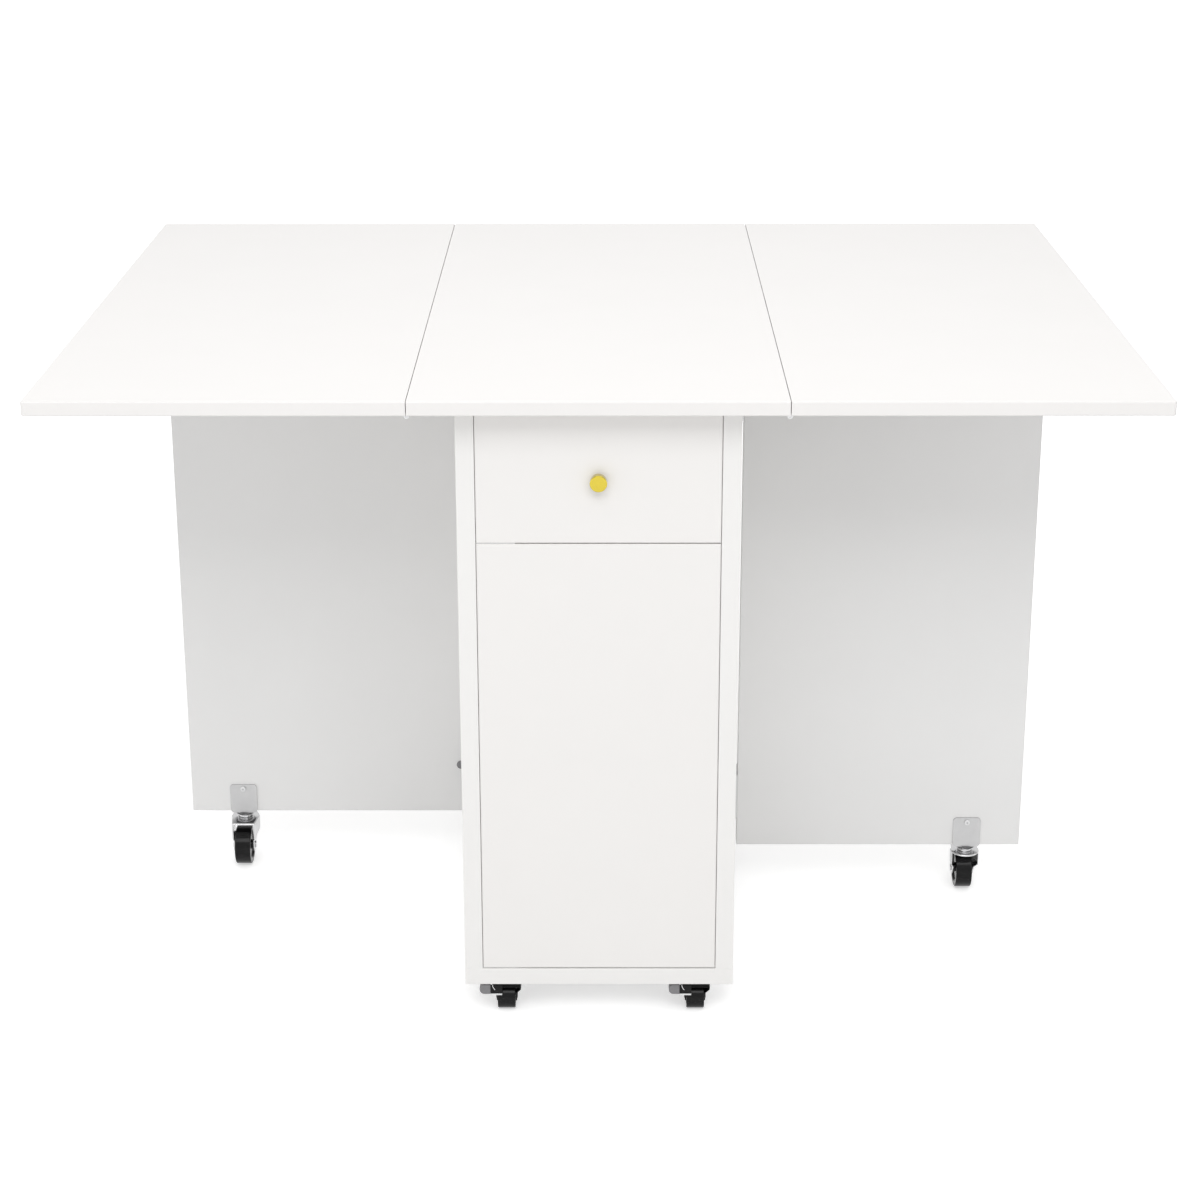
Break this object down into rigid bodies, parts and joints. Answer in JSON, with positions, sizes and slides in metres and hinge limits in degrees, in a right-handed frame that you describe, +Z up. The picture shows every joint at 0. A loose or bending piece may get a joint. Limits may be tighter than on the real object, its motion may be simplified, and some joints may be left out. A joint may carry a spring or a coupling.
{
  "type": "drop leaf kitchen island",
  "caption": "White kitchen island on casters: narrow cabinet with drawer and door, and a wide top whose hinged leaves rest on swinging gates.",
  "frame": {"origin": "centre of the outline, on the floor under the wheels", "axes": "+X to the right along the long side, +Y from the front to the back, +Z up"},
  "size_m": [1.2, 0.85, 0.743],
  "materials": {
    "top_laminate": "smooth white laminate",
    "white_board": "smooth white laminate",
    "gate_board": "smooth white laminate",
    "drawer_board": "smooth white foil",
    "beech": "plain wood",
    "gold_metal": "satin gold",
    "zinc_steel": "zinc plated",
    "chrome_steel": "polished chrome",
    "black_steel": "black paint",
    "black_wheel": "smooth black",
    "grey_plastic": "matt grey",
    "white_plastic": "matt white"
  },
  "bodies": {
    "cabinet": {"centre_top": "top_laminate", "left_side": "white_board", "right_side": "white_board", "base_board": "white_board", "back_panel": "white_board", "divider_shelf": "white_board", "inner_shelf": "white_board", "shelf_pins": "zinc_steel", "top_rails": "white_board", "carcass_dowels": "beech", "assembly_bolts": "zinc_steel", "cabinet_screws": "zinc_steel", "table_hinge_fixed_leaves": "zinc_steel", "hinge_pins": "zinc_steel", "gate_hinge_brackets": "zinc_steel", "slide_outer_members": "zinc_steel", "door_pivot_plates": "zinc_steel", "push_latch_body": "white_plastic", "caster_plates": "black_steel"},
    "left_leaf_body": {"left_leaf": "top_laminate", "left_leaf_hinge_leaves": "zinc_steel", "left_leaf_screws": "zinc_steel"},
    "right_leaf_body": {"right_leaf": "top_laminate", "right_leaf_hinge_leaves": "zinc_steel", "right_leaf_screws": "zinc_steel"},
    "left_gate": {"left_gate_panel": "gate_board", "left_gate_hinge_leaves": "zinc_steel", "left_gate_glide": "white_plastic", "left_gate_saddle": "zinc_steel", "left_gate_fasteners": "zinc_steel", "hinge_cap": "grey_plastic"},
    "right_gate": {"right_gate_panel": "gate_board", "right_gate_hinge_leaves": "zinc_steel", "right_gate_glide": "white_plastic", "right_gate_saddle": "zinc_steel", "right_gate_fasteners": "zinc_steel"},
    "drawer": {"drawer_front": "white_board", "drawer_left_side": "drawer_board", "drawer_right_side": "drawer_board", "drawer_back": "drawer_board", "drawer_bottom": "drawer_board", "drawer_knob": "gold_metal", "slide_inner_members": "zinc_steel"},
    "slide_middle": {"slide_middle_members": "zinc_steel"},
    "door": {"door_panel": "white_board"},
    "plunger": {"latch_plunger": "white_plastic"},
    "front_left_fork_body": {"front_left_fork": "black_steel"},
    "front_left_wheel_body": {"front_left_wheel": "black_wheel"},
    "front_right_fork_body": {"front_right_fork": "black_steel"},
    "front_right_wheel_body": {"front_right_wheel": "black_wheel"},
    "back_left_fork_body": {"back_left_fork": "black_steel"},
    "back_left_wheel_body": {"back_left_wheel": "black_wheel"},
    "back_right_fork_body": {"back_right_fork": "black_steel"},
    "back_right_wheel_body": {"back_right_wheel": "black_wheel"},
    "left_gate_fork_body": {"left_gate_fork": "chrome_steel"},
    "left_gate_wheel_body": {"left_gate_wheel": "black_wheel"},
    "right_gate_fork_body": {"right_gate_fork": "chrome_steel"},
    "right_gate_wheel_body": {"right_gate_wheel": "black_wheel"},
    "front_left_brake_body": {"front_left_brake": "grey_plastic"},
    "front_right_brake_body": {"front_right_brake": "grey_plastic"}
  },
  "joints": [
    {"name": "left_leaf_lift", "type": "hinge", "parent": "cabinet", "child": "left_leaf_body", "pos_m": [-0.2, 0, 0.724], "axis": [0, 1, 0], "range_deg": [0, 2.5]},
    {"name": "right_leaf_lift", "type": "hinge", "parent": "cabinet", "child": "right_leaf_body", "pos_m": [0.2, 0, 0.724], "axis": [0, -1, 0], "range_deg": [0, 2.5]},
    {"name": "left_gate_swing", "type": "hinge", "parent": "cabinet", "child": "left_gate", "pos_m": [-0.1695, -0.024, 0.4], "axis": [0, 0, 1], "range_deg": [0, 90]},
    {"name": "right_gate_swing", "type": "hinge", "parent": "cabinet", "child": "right_gate", "pos_m": [0.1695, -0.077, 0.4], "axis": [0, 0, 1], "range_deg": [0, 90]},
    {"name": "drawer_pull", "type": "slide", "parent": "cabinet", "child": "drawer", "axis": [0, -1, 0], "range_m": [0, 0.38]},
    {"name": "slide_middle_run", "type": "slide", "parent": "cabinet", "child": "slide_middle", "axis": [0, -1, 0], "range_m": [0, 0.19]},
    {"name": "door_swing", "type": "hinge", "parent": "cabinet", "child": "door", "pos_m": [-0.1115, -0.384, 0.3], "axis": [0, 0, -1], "range_deg": [0, 110]},
    {"name": "latch_push", "type": "slide", "parent": "cabinet", "child": "plunger", "axis": [0, 1, 0], "range_m": [0, 0.003], "stiffness_N_per_m": 400},
    {"name": "front_left_swivel", "type": "hinge", "parent": "cabinet", "child": "front_left_fork_body", "pos_m": [-0.1058, -0.355, 0.035], "axis": [0, 0, 1], "continuous": true},
    {"name": "front_left_roll", "type": "hinge", "parent": "front_left_fork_body", "child": "front_left_wheel_body", "pos_m": [-0.1058, -0.37, 0.015], "axis": [1, 0, 0], "continuous": true},
    {"name": "front_right_swivel", "type": "hinge", "parent": "cabinet", "child": "front_right_fork_body", "pos_m": [0.11, -0.355, 0.035], "axis": [0, 0, 1], "continuous": true},
    {"name": "front_right_roll", "type": "hinge", "parent": "front_right_fork_body", "child": "front_right_wheel_body", "pos_m": [0.11, -0.37, 0.015], "axis": [1, 0, 0], "continuous": true},
    {"name": "back_left_swivel", "type": "hinge", "parent": "cabinet", "child": "back_left_fork_body", "pos_m": [-0.1058, 0.355, 0.035], "axis": [0, 0, 1], "continuous": true},
    {"name": "back_left_roll", "type": "hinge", "parent": "back_left_fork_body", "child": "back_left_wheel_body", "pos_m": [-0.1058, 0.34, 0.015], "axis": [1, 0, 0], "continuous": true},
    {"name": "back_right_swivel", "type": "hinge", "parent": "cabinet", "child": "back_right_fork_body", "pos_m": [0.11, 0.355, 0.035], "axis": [0, 0, 1], "continuous": true},
    {"name": "back_right_roll", "type": "hinge", "parent": "back_right_fork_body", "child": "back_right_wheel_body", "pos_m": [0.11, 0.34, 0.015], "axis": [1, 0, 0], "continuous": true},
    {"name": "left_gate_swivel", "type": "hinge", "parent": "left_gate", "child": "left_gate_fork_body", "pos_m": [-0.4575, -0.004, 0.058], "axis": [0, 0, 1], "continuous": true},
    {"name": "left_gate_roll", "type": "hinge", "parent": "left_gate_fork_body", "child": "left_gate_wheel_body", "pos_m": [-0.4575, -0.02, 0.0245], "axis": [1, 0, 0], "continuous": true},
    {"name": "right_gate_swivel", "type": "hinge", "parent": "right_gate", "child": "right_gate_fork_body", "pos_m": [0.4575, -0.097, 0.058], "axis": [0, 0, 1], "continuous": true},
    {"name": "right_gate_roll", "type": "hinge", "parent": "right_gate_fork_body", "child": "right_gate_wheel_body", "pos_m": [0.4575, -0.081, 0.0245], "axis": [1, 0, 0], "continuous": true},
    {"name": "front_left_brake_press", "type": "hinge", "parent": "front_left_fork_body", "child": "front_left_brake_body", "pos_m": [-0.1058, -0.379, 0.0302], "axis": [1, 0, 0], "range_deg": [0, 12]},
    {"name": "front_right_brake_press", "type": "hinge", "parent": "front_right_fork_body", "child": "front_right_brake_body", "pos_m": [0.11, -0.379, 0.0302], "axis": [1, 0, 0], "range_deg": [0, 12]}
  ],
  "couplings": [
    {"joint": "slide_middle_run", "follows": "drawer_pull", "ratio": 0.5}
  ]
}
